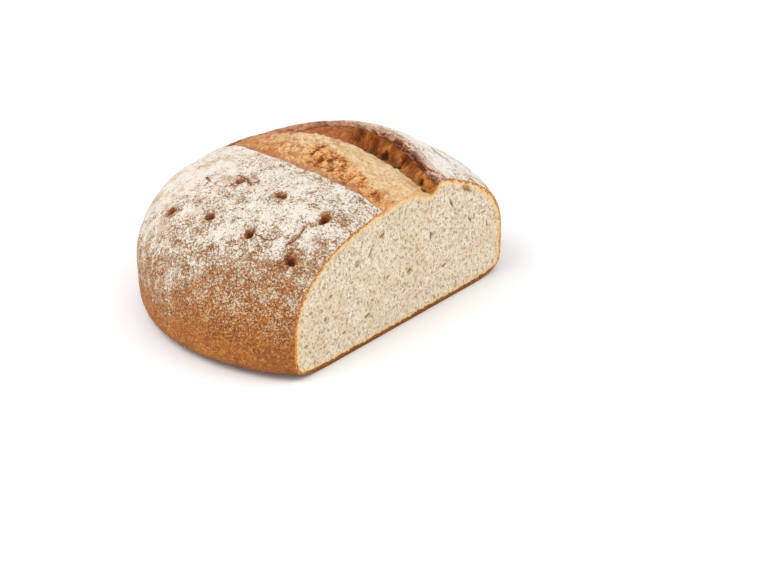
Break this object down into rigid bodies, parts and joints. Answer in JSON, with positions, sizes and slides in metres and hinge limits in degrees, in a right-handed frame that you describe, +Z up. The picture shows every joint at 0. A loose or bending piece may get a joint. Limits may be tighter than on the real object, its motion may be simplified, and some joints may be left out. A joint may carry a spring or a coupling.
{
  "type": "sourdough loaf",
  "caption": "Round floured hearth loaf of sourdough with one end sliced off flat, a torn score along the top with a raised ear, and docking holes.",
  "frame": {"origin": "on the surface the loaf rests on, under the middle of its bounding box", "axes": "+Z up, +X along the score and out of the sliced face, +Y across the score towards the ear"},
  "size_m": [0.185, 0.24, 0.1001],
  "materials": {
    "crust": "matt, floured"
  },
  "bodies": {
    "root": {"loaf": "crust"}
  },
  "joints": []
}
